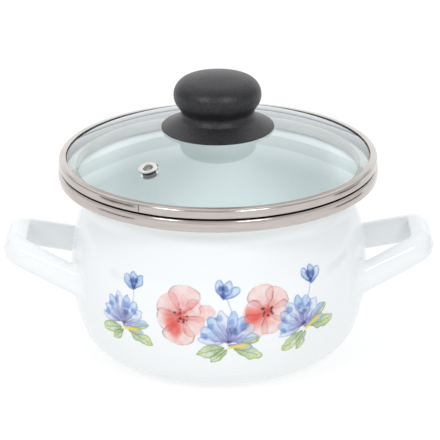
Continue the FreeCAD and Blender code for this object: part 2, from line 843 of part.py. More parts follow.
for thing in doc.Objects:
    if "Invalid" in thing.State or "Error" in thing.State:
        raise ValueError(f"{thing.Name} failed: {thing.State}")
for node in NODES:
    shape = doc.getObject(node).Shape
    if shape.isNull() or not shape.isValid() or len(shape.Solids) != 1:
        raise ValueError(f"{node} is not one valid solid")
for node in NODES:
    shape = doc.getObject(node).Shape
    shape.exportStep(f"parts/{node}.step")
    print(f"{node}: {shape.Volume / 1000:.2f} cm3")
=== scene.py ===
import math

import bmesh
import bpy
import numpy as np
from mathutils import Matrix, Vector


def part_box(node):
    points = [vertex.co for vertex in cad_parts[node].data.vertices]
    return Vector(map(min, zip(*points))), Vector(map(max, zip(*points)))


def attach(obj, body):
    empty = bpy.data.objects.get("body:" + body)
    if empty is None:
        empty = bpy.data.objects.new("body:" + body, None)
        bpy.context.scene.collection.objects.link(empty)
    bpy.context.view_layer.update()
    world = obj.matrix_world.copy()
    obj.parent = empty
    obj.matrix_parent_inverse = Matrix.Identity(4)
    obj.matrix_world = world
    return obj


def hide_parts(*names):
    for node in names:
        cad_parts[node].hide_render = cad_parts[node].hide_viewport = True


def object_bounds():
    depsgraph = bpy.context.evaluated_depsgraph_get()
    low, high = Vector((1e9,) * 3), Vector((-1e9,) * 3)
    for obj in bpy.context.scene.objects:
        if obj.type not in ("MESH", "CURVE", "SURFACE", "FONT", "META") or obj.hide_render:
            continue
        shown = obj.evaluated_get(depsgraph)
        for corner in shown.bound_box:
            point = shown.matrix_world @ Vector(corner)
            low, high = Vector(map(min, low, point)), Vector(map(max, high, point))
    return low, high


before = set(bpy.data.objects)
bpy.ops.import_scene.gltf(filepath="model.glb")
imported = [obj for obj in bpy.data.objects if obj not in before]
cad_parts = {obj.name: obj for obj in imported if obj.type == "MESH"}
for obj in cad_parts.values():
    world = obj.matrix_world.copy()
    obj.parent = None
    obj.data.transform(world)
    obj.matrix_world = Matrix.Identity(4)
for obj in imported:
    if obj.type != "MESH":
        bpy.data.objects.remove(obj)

CAD_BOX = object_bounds()
MM = 0.001
WELD = 1e-6              # metres: points closer than this are one point

# ------------------------------------------------------------------ view and light

RIM_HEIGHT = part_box("pot_rim_band")[1].z / MM
EYE_DISTANCE = 1200.0
EYE_RISE = math.radians(20.26)
LENS_WIDTHS = 5.1477     # focal length, in widths of the picture
AIM_BELOW = math.radians(1.464)
AIM_LEFT = math.radians(-0.038)
ROLL = math.radians(-0.5)
MIDDLE = Vector((0, 0, 0.08))
FLOOR_GAP = 0.05 * MM


def set_camera():
    """Long lens a little above the pot, aimed just under the lid."""
    data = bpy.data.cameras.new("camera")
    data.sensor_width = 36.0
    data.lens = data.sensor_width * LENS_WIDTHS
    camera = bpy.data.objects.new("camera", data)
    bpy.context.scene.collection.objects.link(camera)
    back = Vector((0, -math.cos(EYE_RISE), math.sin(EYE_RISE)))
    camera.location = (Vector((0, 0, RIM_HEIGHT)) + back * EYE_DISTANCE) * MM
    pitch = Matrix.Rotation(math.pi / 2 - EYE_RISE - AIM_BELOW, 4, "X")
    yaw = Matrix.Rotation(AIM_LEFT, 4, "Z")
    roll = Matrix.Rotation(ROLL, 4, "Z")
    camera.rotation_euler = (yaw @ pitch @ roll).to_euler()
    data.clip_start, data.clip_end = 0.05, 20
    bpy.context.scene.camera = camera


def facing(azimuth, rise):
    """Unit vector towards a place in the studio; azimuth 0 is in front, 90 to the right."""
    a, e = math.radians(azimuth), math.radians(rise)
    return Vector((math.sin(a) * math.cos(e), -math.cos(a) * math.cos(e), math.sin(e)))


def add_softbox(name, azimuth, rise, distance, width, height, power):
    """Rectangular lamp aimed at the middle of the pot."""
    data = bpy.data.lights.new(name, "AREA")
    data.shape = "RECTANGLE"
    data.size, data.size_y = width, height
    data.energy = power
    lamp = bpy.data.objects.new(name, data)
    bpy.context.scene.collection.objects.link(lamp)
    back = facing(azimuth, rise)
    lamp.location = MIDDLE + back * distance
    lamp.rotation_euler = back.to_track_quat("Z", "Y").to_euler()
    lamp.visible_camera = False


def add_flag(name, azimuth, distance, width, height, middle):
    """Grey card beside the pot that only shiny surfaces see."""
    bpy.ops.object.select_all(action="DESELECT")
    bpy.ops.mesh.primitive_plane_add(size=1)
    flag = bpy.context.object
    flag.name = name
    flag.scale = (width, height, 1)
    back = facing(azimuth, 0)
    flag.location = back * distance + Vector((0, 0, middle))
    flag.rotation_euler = back.to_track_quat("Z", "Y").to_euler()
    material = bpy.data.materials.new(name)
    material.use_nodes = True
    shader = material.node_tree.nodes["Principled BSDF"]
    shader.inputs["Base Color"].default_value = (0.03, 0.03, 0.03, 1)
    shader.inputs["Roughness"].default_value = 1.0
    flag.data.materials.append(material)
    flag.visible_camera = flag.visible_diffuse = flag.visible_shadow = False
    flag.visible_transmission = False


def set_lights():
    """Two softboxes in front, a broad one overhead, and grey cards at both sides."""
    add_softbox("softbox_left", -38, 34, 1.1, 0.26, 0.20, 2.6)
    add_softbox("softbox_right", 25, 34, 1.1, 0.34, 0.20, 2.6)
    add_softbox("overhead", 180, 64, 1.4, 3.2, 1.5, 9.0)
    add_softbox("backdrop", 180, 14, 1.7, 3.4, 0.8, 5.5)
    add_flag("flag_left", -67, 0.30, 0.15, 0.024, 0.032)
    add_flag("flag_right", 93, 0.30, 0.15, 0.024, 0.032)


def set_world():
    """White studio all round."""
    world = bpy.data.worlds.new("studio")
    bpy.context.scene.world = world
    world.use_nodes = True
    nodes, links = world.node_tree.nodes, world.node_tree.links
    white = nodes["Background"]
    white.inputs["Color"].default_value = (0.97, 0.985, 1.0, 1)
    rays = nodes.new("ShaderNodeLightPath")
    strength = nodes.new("ShaderNodeMapRange")
    strength.inputs["To Min"].default_value = 0.66
    strength.inputs["To Max"].default_value = 1.05
    links.new(rays.outputs["Is Camera Ray"], strength.inputs["Value"])
    links.new(strength.outputs["Result"], white.inputs["Strength"])


def make_floor():
    """White table top, just under the pot, with a little light of its own."""
    bpy.ops.object.select_all(action="DESELECT")
    bpy.ops.mesh.primitive_plane_add(size=6, location=(0, 0, CAD_BOX[0].z - FLOOR_GAP))
    floor = bpy.context.object
    floor.name = "floor"
    material = bpy.data.materials.new("floor_white")
    material.use_nodes = True
    shader = material.node_tree.nodes["Principled BSDF"]
    shader.inputs["Base Color"].default_value = (0.40, 0.40, 0.40, 1)
    shader.inputs["Roughness"].default_value = 0.9
    shader.inputs["Specular IOR Level"].default_value = 0.1
    shader.inputs["Emission Color"].default_value = (1, 1, 1, 1)
    shader.inputs["Emission Strength"].default_value = 0.62
    floor.data.materials.append(material)


# ------------------------------------------------------------------------ outlines

def arc(centre, radius, first, last, steps=8):
    """Points of an arc from angle first to last, in degrees, ends included."""
    angles = [math.radians(first + (last - first) * k / steps) for k in range(steps + 1)]
    return [(centre[0] + radius * math.cos(a), centre[1] + radius * math.sin(a))
            for a in angles]


def bend(start, stop, radius, steps=8):
    """Arc between two points; a positive radius keeps its centre on the left."""
    a, b = Vector(start), Vector(stop)
    chord = b - a
    side = Vector((-chord.y, chord.x)).normalized() * math.copysign(1, radius)
    rise = math.sqrt(max(radius * radius - chord.length_squared / 4, 0))
    centre = (a + b) / 2 + side * rise
    first = math.atan2(a.y - centre.y, a.x - centre.x)
    last = math.atan2(b.y - centre.y, b.x - centre.x)
    turn = (last - first + math.pi) % (2 * math.pi) - math.pi
    return arc(centre, abs(radius), math.degrees(first), math.degrees(first + turn), steps)


def outline(*items):
    """Joins points and bends: a number between two points is the radius of that bend."""
    line = []
    for number, item in enumerate(items):
        if isinstance(item, tuple):
            line.append(item)
        else:
            line += bend(items[number - 1], items[(number + 1) % len(items)], item)[1:-1]
    return line


# ------------------------------------------------------------------------ modelling

def start_piece(name):
    """New mesh piece holding one vertex at the origin, open for editing."""
    bpy.ops.object.select_all(action="DESELECT")
    bpy.ops.mesh.primitive_plane_add(size=MM, location=(0, 0, 0))
    piece = bpy.context.object
    piece.name = name
    bpy.ops.object.mode_set(mode="EDIT")
    bpy.ops.mesh.select_all(action="SELECT")
    bpy.ops.mesh.merge(type="CENTER")
    return piece


def draw_line(places, closed):
    """Draws a line through the places from the one vertex of a piece just started."""
    bpy.ops.transform.translate(value=places[0])
    for before, place in zip(places, places[1:] + (places[:1] if closed else [])):
        bpy.ops.mesh.extrude_vertices_move(TRANSFORM_OT_translate={"value": place - before})
    bpy.ops.mesh.select_all(action="SELECT")
    bpy.ops.mesh.remove_doubles(threshold=WELD)


def extrude_through(piece, rings):
    """Extrudes the line drawn along the first ring to each next ring in turn."""
    for here, there in zip(rings, rings[1:]):
        bpy.ops.mesh.extrude_edges_indiv()
        shape = bmesh.from_edit_mesh(piece.data)
        for vertex in [v for v in shape.verts if v.select]:
            gaps = [(place - vertex.co).length_squared for place in here]
            vertex.co = there[gaps.index(min(gaps))]
        bmesh.update_edit_mesh(piece.data)


def end_piece(piece, crease):
    """Welds the open piece, turns its faces outwards and smooths it up to the crease angle."""
    bpy.ops.mesh.select_all(action="SELECT")
    bpy.ops.mesh.remove_doubles(threshold=WELD)
    bpy.ops.mesh.normals_make_consistent(inside=False)
    bpy.ops.object.mode_set(mode="OBJECT")
    bpy.ops.object.shade_smooth_by_angle(angle=math.radians(crease))
    return piece


def turned(name, profile, steps=192, closed=True, sweep=360.0, start=0.0, crease=32):
    """Lathe work: a profile of (radius, height) in mm is drawn and spun round the pot's axis."""
    piece = start_piece(name)
    a = math.radians(start)
    draw_line([Vector((r * math.sin(a), -r * math.cos(a), z)) * MM for r, z in profile], closed)
    bpy.ops.mesh.spin(steps=steps, angle=-math.radians(sweep), center=(0, 0, 0), axis=(0, 0, 1))
    return end_piece(piece, crease)


def move_piece(piece, turn, shift):
    """Turns the piece's mesh about the origin and moves it, so its object stays unturned."""
    piece.data.transform(Matrix.Translation(shift) @ turn.to_4x4())
    piece.data.update()


def belong(piece, body, slot, *nodes):
    """Says which body the piece moves with and the CAD nodes it stands for, which it hides; slot,
    its finish, is not used.
    """
    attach(piece, body)
    for node in nodes:
        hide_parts(node)


# ------------------------------------------------------------------------ materials

def new_material(name, colour, roughness, metallic=0.0, specular=0.5):
    """Plain finish, handed back with its nodes, links and shader for more work."""
    material = bpy.data.materials.new(name)
    material.use_nodes = True
    shader = material.node_tree.nodes["Principled BSDF"]
    shader.inputs["Base Color"].default_value = (*colour, 1)
    shader.inputs["Roughness"].default_value = roughness
    shader.inputs["Metallic"].default_value = metallic
    shader.inputs["Specular IOR Level"].default_value = specular
    return material, material.node_tree.nodes, material.node_tree.links, shader


def speckle(nodes, links, scale, detail=2.0, stretch=(1, 1, 1)):
    """Noise laid on the piece's own coordinates."""
    place = nodes.new("ShaderNodeTexCoord")
    spread = nodes.new("ShaderNodeMapping")
    spread.inputs["Scale"].default_value = stretch
    noise = nodes.new("ShaderNodeTexNoise")
    noise.inputs["Scale"].default_value = scale
    noise.inputs["Detail"].default_value = detail
    links.new(place.outputs["Object"], spread.inputs["Vector"])
    links.new(spread.outputs["Vector"], noise.inputs["Vector"])
    return noise


def blend_tones(nodes, links, noise, low, high, first, second, target):
    """Colour that runs from one tone to another as the noise goes from low to high."""
    ramp = nodes.new("ShaderNodeValToRGB")
    ramp.color_ramp.elements[0].position = low
    ramp.color_ramp.elements[1].position = high
    ramp.color_ramp.elements[0].color = (*first, 1)
    ramp.color_ramp.elements[1].color = (*second, 1)
    links.new(noise.outputs["Fac"], ramp.inputs["Fac"])
    links.new(ramp.outputs["Color"], target)
    return ramp


def relief(nodes, links, noise, shader, strength, depth):
    """Fine unevenness of the surface, depth in metres."""
    bump = nodes.new("ShaderNodeBump")
    bump.inputs["Strength"].default_value = strength
    bump.inputs["Distance"].default_value = depth
    links.new(noise.outputs["Fac"], bump.inputs["Height"])
    links.new(bump.outputs["Normal"], shader.inputs["Normal"])


def calculate(nodes, links, operation, *values):
    """Sum worked out from numbers and other nodes' outputs, kept between 0 and 1."""
    node = nodes.new("ShaderNodeMath")
    node.operation = operation
    node.use_clamp = True
    for socket, value in zip(node.inputs, values):
        if isinstance(value, float):
            socket.default_value = value
        else:
            links.new(value, socket)
    return node.outputs["Value"]


def mix_shaders(nodes, links, share, first, second):
    """Shader that goes from the first to the second as the share goes from 0 to 1."""
    mix = nodes.new("ShaderNodeMixShader")
    links.new(share, mix.inputs["Fac"])
    links.new(first.outputs[0], mix.inputs[1])
    links.new(second.outputs[0], mix.inputs[2])
    return mix


def mix_colours(nodes, links, way, first, second):
    """Colour mixer between a node's colour and either a plain colour or a node's."""
    mix = nodes.new("ShaderNodeMix")
    mix.data_type = "RGBA"
    mix.blend_type = way
    mix.inputs["Factor"].default_value = 1.0
    links.new(first.outputs["Color"], mix.inputs["A"])
    if isinstance(second, tuple):
        mix.inputs["B"].default_value = (*second, 1)
    else:
        links.new(second.outputs["Color"], mix.inputs["B"])
    return mix


def shade(colour, share):
    """The colour made darker, to a share of its light."""
    return [part * share for part in colour]


ENAMEL_WHITE = (0.838, 0.860, 0.868)
# lighter, bluer white for the pot's inside: painted light that makes up for light inside the pot
INSIDE_LIT_WHITE = (0.925, 0.955, 0.955)


def make_enamel(name, printed=False, light_inside=False):
    """Glossy white enamel with a faint waviness; printed adds the painted flowers, and the switch
    for the inside paints the pot's inside a lighter, bluer white, painted light that stands in for
    the light inside the pot."""
    material, nodes, links, shader = new_material(name, ENAMEL_WHITE, 0.09)
    relief(nodes, links, speckle(nodes, links, 55, 1.5), shader, 0.12, 0.0006)
    tone = blend_tones(nodes, links, speckle(nodes, links, 14), 0.3, 0.75,
                       shade(ENAMEL_WHITE, 0.975), ENAMEL_WHITE, shader.inputs["Base Color"])
    if printed:
        flowers = nodes.new("ShaderNodeAttribute")
        flowers.attribute_name = "print"
        mix = mix_colours(nodes, links, "MULTIPLY", tone, flowers)
        links.new(mix.outputs["Result"], shader.inputs["Base Color"])
    # painted light: the pot's inside is mixed towards a lighter, bluer white
    if light_inside:
        inside_light = nodes.new("ShaderNodeAttribute")
        inside_light.attribute_name = "inside_light"
        mix = mix_colours(nodes, links, "MIX", tone, INSIDE_LIT_WHITE)
        links.new(inside_light.outputs["Fac"], mix.inputs["Factor"])
        links.new(mix.outputs["Result"], shader.inputs["Base Color"])
    return material


def make_steel(name, colour, roughness):
    """Rolled stainless sheet, its fine grain running round the ring."""
    material, nodes, links, shader = new_material(name, colour, roughness, metallic=1.0)
    grain = speckle(nodes, links, 60, 3.0, (1, 1, 12))
    blend_tones(nodes, links, grain, 0.3, 0.7, shade(colour, 0.86), colour,
                shader.inputs["Base Color"])
    relief(nodes, links, speckle(nodes, links, 90, 2.0, (1, 1, 6)), shader, 0.06, 0.0004)
    return material


def make_glass(name):
    """Tempered glass, clear with a blue-green cast. Its outer faces reflect, more so at
    shallow angles, and it lets light from the lamps and from the pot's inside straight on."""
    material = bpy.data.materials.new(name)
    material.use_nodes = True
    nodes, links = material.node_tree.nodes, material.node_tree.links
    nodes.clear()
    clear = nodes.new("ShaderNodeBsdfTransparent")
    clear.inputs["Color"].default_value = (0.947, 0.995, 0.991, 1)
    straight_on = nodes.new("ShaderNodeBsdfTransparent")
    gloss = nodes.new("ShaderNodeBsdfGlossy")
    gloss.inputs["Color"].default_value = (0.95, 0.98, 1, 1)
    gloss.inputs["Roughness"].default_value = 0.03
    slant = nodes.new("ShaderNodeLayerWeight")
    sides = nodes.new("ShaderNodeNewGeometry")
    rays = nodes.new("ShaderNodeLightPath")
    head_on_gloss = 0.07
    share = calculate(nodes, links, "POWER", slant.outputs["Facing"], 3.5)
    share = calculate(nodes, links, "MULTIPLY_ADD", share, 1 - head_on_gloss, head_on_gloss)
    share = calculate(nodes, links, "SUBTRACT", share, sides.outputs["Backfacing"])
    seen = mix_shaders(nodes, links, share, clear, gloss)
    passing = calculate(nodes, links, "MAXIMUM", rays.outputs["Is Shadow Ray"],
                        rays.outputs["Is Diffuse Ray"])
    glass = mix_shaders(nodes, links, passing, seen, straight_on)
    out = nodes.new("ShaderNodeOutputMaterial")
    links.new(glass.outputs["Shader"], out.inputs["Surface"])
    return material


def make_bakelite(name):
    """Moulded charcoal resin, satin, with a fine grain."""
    dark, light = (0.006, 0.006, 0.007), (0.028, 0.027, 0.031)
    material, nodes, links, shader = new_material(name, dark, 0.40, specular=0.45)
    grain = speckle(nodes, links, 900, 3.0)
    blend_tones(nodes, links, grain, 0.35, 0.75, dark, light, shader.inputs["Base Color"])
    relief(nodes, links, speckle(nodes, links, 1400, 2.0), shader, 0.35, 0.0003)
    return material


def make_plain(name, colour, roughness, metallic=0.0):
    """Even finish with faint blotches, for seals and fastenings."""
    material, nodes, links, shader = new_material(name, colour, roughness, metallic)
    blend_tones(nodes, links, speckle(nodes, links, 120), 0.3, 0.7,
                shade(colour, 0.9), colour, shader.inputs["Base Color"])
    return material


# ------------------------------------------------------------------------------ pot

WALL = 1.2
BASE_RADIUS, BASE_RISE, FOOT_RADIUS = 41.0, 0.6, 47.4
NECK_RADIUS, NECK_HEIGHT, FLARE_ARC, FLARE_EDGE = 70.7, 85.5, 11.9, 81.2
SIDE_ARCS = [(39.1, 3.2, 6), (20.55, 15.1, 12), (90.0, 45.6, 14), (96.0, 64.7, 10)]


def pot_side(depth=0.0):
    """The pot's outer side from its foot to the flared edge, or a layer depth inside it."""
    line = []
    # arcs that run on from one another, each up to its own height
    x, z, heading = FOOT_RADIUS, 0.0, 0.0
    for radius, top, steps in SIDE_ARCS:
        turned_to = math.acos(math.cos(heading) - (top - z) / radius)
        centre = (x - radius * math.sin(heading), z + radius * math.cos(heading))
        line += arc(centre, radius - depth, math.degrees(heading) - 90,
                    math.degrees(turned_to) - 90, steps)[:-1]
        x, z, heading = centre[0] + radius * math.sin(turned_to), top, turned_to
    # one more arc, which meets both the last one and the hollow of the neck without a kink
    hollow = (NECK_RADIUS + FLARE_ARC, NECK_HEIGHT)
    along, up = math.sin(heading), -math.cos(heading)
    gap = (x - hollow[0], z - hollow[1])
    reach = ((gap[0] ** 2 + gap[1] ** 2 - FLARE_ARC ** 2)
             / (2 * (FLARE_ARC + gap[0] * along + gap[1] * up)))
    centre = (x - reach * along, z - reach * up)
    lean = math.degrees(math.atan2(hollow[1] - centre[1], hollow[0] - centre[0]))
    line += arc(centre, reach - depth, math.degrees(heading) - 90, lean, 12)[:-1]
    across = hollow[0] - FLARE_EDGE
    end = math.degrees(math.acos(-across / (FLARE_ARC + depth)))
    line += arc(hollow, FLARE_ARC + depth, 180 + lean, end, 16)
    return line


def make_pot(enamel):
    """The pressed cup, its base raised a little inside the ring that it stands on."""
    step, inset = 1.2, 0.5
    outside = [(0.0, BASE_RISE), (BASE_RADIUS, BASE_RISE), (BASE_RADIUS + step, 0.0)]
    inside = [(0.0, BASE_RISE + WALL), (BASE_RADIUS - inset, BASE_RISE + WALL),
              (BASE_RADIUS - inset + step, WALL)]
    outside += pot_side()
    inside += pot_side(WALL)
    pot = turned("pot_cup", outside + inside[::-1], steps=224)
    pot.data.materials.append(enamel)
    # the points that lie inside the middle of the wall get the lighter white, painted light for the
    # pot's inside
    inside_light = pot.data.attributes.new("inside_light", "FLOAT", "POINT")
    for vertex in pot.data.vertices:
        across, up = math.hypot(vertex.co.x, vertex.co.y) / MM, vertex.co.z / MM
        inner = up > WALL / 2 and across < side_radius(up) - WALL / 2
        inside_light.data[vertex.index].value = 1.0 if inner else 0.0
    belong(pot, "pot", "white_enamel", "pot_body")


def make_pot_band(steel):
    """Steel band rolled over the flared edge, its face bowed out a little."""
    sheet, corner, bow = 0.5, 0.9, 10.0
    face, top, bottom, hem = 84.3, 102.85, 96.5, 81.8
    mouth, mouth_foot = 76.8, 97.8
    shut = corner - sheet
    band = turned("pot_rim_ring", outline(
        (hem, bottom), (face - corner, bottom), corner,
        (face, bottom + corner), bow,
        (face, top - corner), corner,
        (face - corner, top),
        (mouth + corner, top), corner,
        (mouth, top - corner),
        (mouth, mouth_foot), (mouth + sheet, mouth_foot),
        (mouth + sheet, top - corner), -shut,
        (mouth + corner, top - sheet),
        (face - corner, top - sheet), -shut,
        (face - sheet, top - corner), sheet - bow,
        (face - sheet, bottom + corner), -shut,
        (face - corner, bottom + sheet), (hem, bottom + sheet)), steps=224)
    band.data.materials.append(steel)
    belong(band, "pot", "band_steel", "pot_rim_band")


# -------------------------------------------------------------------------- handles

HANDLE_START, HANDLE_HEIGHT, HANDLE_TILT, HANDLE_DEPTH = 76.8, 48.3, 20.0, 15.0
OUTER_LOOP = (33.0, 39.3, 20.0, 15.0)    # half width at the pot, length, taper, corner
INNER_LOOP = (25.5, 28.7, 24.0, 4.0)
ROOT_FILLET = 6.0


def loop_line(width, length, taper, corner, stations):
    """Half of a loop in its own plane, as stations from the pot's side to the middle."""
    lean = math.radians(taper)
    y_corner = width - length * math.tan(lean)
    run = corner * math.tan((math.pi / 2 - lean) / 2)
    leg_end = Vector((length - run * math.cos(lean), y_corner + run * math.sin(lean)))
    leg_start = Vector((0.0, width))
    middle = Vector((length - corner, y_corner - run))
    turn = [Vector(p) for p in arc(middle, corner, 90 - taper, 0, stations[1])]
    leg = [leg_start.lerp(leg_end, k / stations[0]) for k in range(stations[0])]
    bar = [Vector((length, (y_corner - run) * (1 - k / stations[2])))
           for k in range(1, stations[2] + 1)]
    return leg + turn + bar


def section(inner, outer, depth, inner_round=2.4, outer_round=6.2, flat=0.3):
    """Ring of points round one cut through the handle: rounder outside than inside."""
    across = (outer - inner).length
    outer_round = min(outer_round, across - inner_round - flat)
    out = (outer - inner).normalized()
    half = depth / 2
    ring = []
    for corner, centre, first in (
            (outer_round, (across - outer_round, half - outer_round), 90),
            (outer_round, (across - outer_round, outer_round - half), 0),
            (inner_round, (inner_round, inner_round - half), -90),
            (inner_round, (inner_round, half - inner_round), -180)):
        ring += arc(centre, corner, first, first - 90, 6)
    return [Vector(((inner + out * u).x, (inner + out * u).y, w)) for u, w in ring]


def to_pot(point):
    """From the handle's tilted plane to the pot's own frame."""
    tilt = math.radians(HANDLE_TILT)
    return Vector((HANDLE_START + point.x * math.cos(tilt) - point.z * math.sin(tilt),
                   point.y,
                   HANDLE_HEIGHT + point.x * math.sin(tilt) + point.z * math.cos(tilt)))


SIDE = np.array(pot_side())


def side_radius(height):
    """Radius of the pot's outer side at a height."""
    return float(np.interp(height, SIDE[:, 1], SIDE[:, 0]))


def reach_side(point, direction, reach=40.0, halvings=40):
    """Where a line from outside the pot meets its side."""
    near, far = 0.0, reach
    for _ in range(halvings):
        half = (near + far) / 2
        spot = point + direction * half
        if math.hypot(spot.x, spot.y) > side_radius(spot.z):
            near = half
        else:
            far = half
    return point + direction * near


def onto_side(point, sunk=0.04, tries=3, span=1.0):
    """Moves a point to the pot's side, just under the enamel."""
    spot = Vector(point)
    for _ in range(tries):
        slope = (side_radius(spot.z + span / 2) - side_radius(spot.z - span / 2)) / span
        length = math.hypot(spot.x, spot.y)
        normal = Vector((spot.x / length, spot.y / length, -slope)).normalized()
        gap = (length - side_radius(spot.z)) / math.hypot(1, slope)
        spot -= normal * gap
    return spot - normal * sunk


def root_hollow(ring, towards, steps=9):
    """Rings from the pot's side up to the given ring, where the leg opens out softly."""
    middle = reach_side(sum(ring, Vector()) / len(ring), towards)
    corners = [reach_side(point, towards) for point in ring]
    feet = []
    for corner in corners:
        spread = corner - middle
        spread -= towards * spread.dot(towards)
        feet.append(onto_side(corner + spread.normalized() * ROOT_FILLET))
    starts = [corner - towards * min(ROOT_FILLET, (corner - point).length)
              for point, corner in zip(ring, corners)]
    rings = []
    for k in range(steps + 1):
        t = k / steps
        rings.append([foot * (1 - t) ** 2 + corner * 2 * t * (1 - t) + start * t ** 2
                      for foot, corner, start in zip(feet, corners, starts)])
    return rings


def make_handle(name, enamel, node, half_turn):
    """One loop handle, extruded from its near root round to its far root."""
    stations = (7, 12, 6)    # along a leg, round its corner, and to the middle of the bar
    clear = 2                # the first station that stands clear of the pot's side
    outer = loop_line(*OUTER_LOOP, stations)
    inner = loop_line(*INNER_LOOP, stations)
    half = [[to_pot(p) for p in section(a, b, HANDLE_DEPTH)] for a, b in zip(inner, outer)]
    leg_in, leg_out = inner[0] - inner[1], outer[0] - outer[1]
    leg = ((leg_in.normalized() + leg_out.normalized()) / 2).normalized()
    towards = (to_pot(Vector((leg.x, leg.y, 0))) - to_pot(Vector((0, 0, 0)))).normalized()
    half = root_hollow(half[clear], towards) + half[clear:]
    far_half = [[Vector((p.x, -p.y, p.z)) for p in ring] for ring in half[:-1]]
    rings = [[p * MM for p in ring] for ring in half + far_half[::-1]]
    piece = start_piece(name)
    draw_line(rings[0], closed=True)
    extrude_through(piece, rings)
    end_piece(piece, 50)
    if half_turn:
        move_piece(piece, Matrix.Rotation(math.pi, 3, "Z"), Vector((0, 0, 0)))
    piece.data.materials.append(enamel)
    belong(piece, "pot", "white_enamel", node)


# --------------------------------------------------------------- flowers on the pot

BELLY = 79.0             # radius that the painted sheet's width is measured on
CORAL, CORAL_PALE, CORAL_DEEP = (240, 112, 96), (252, 206, 198), (222, 60, 50)
CORAL_HOT = (244, 104, 88)
BLUE, BLUE_PALE, BLUE_FAINT = (92, 146, 214), (176, 210, 244), (222, 236, 250)
BLUE_DEEP, LILAC = (52, 96, 170), (150, 152, 208)
VIOLET, YELLOW, INK = (134, 112, 178), (250, 226, 40), (62, 50, 66)
GREEN, GREEN_PALE, GREEN_DEEP = (150, 186, 84), (206, 222, 140), (86, 116, 52)


def tint(colour):
    """Paint colour given as it looks on screen, as the light it lets back."""
    c = np.array(colour) / 255
    return np.where(c < 0.04045, c / 12.92, ((c + 0.055) / 1.055) ** 2.4)


def ease(x, low, high):
    """Goes smoothly from 0 at low to 1 at high."""
    t = np.clip((x - low) / (high - low), 0, 1)
    return t * t * (3 - 2 * t)


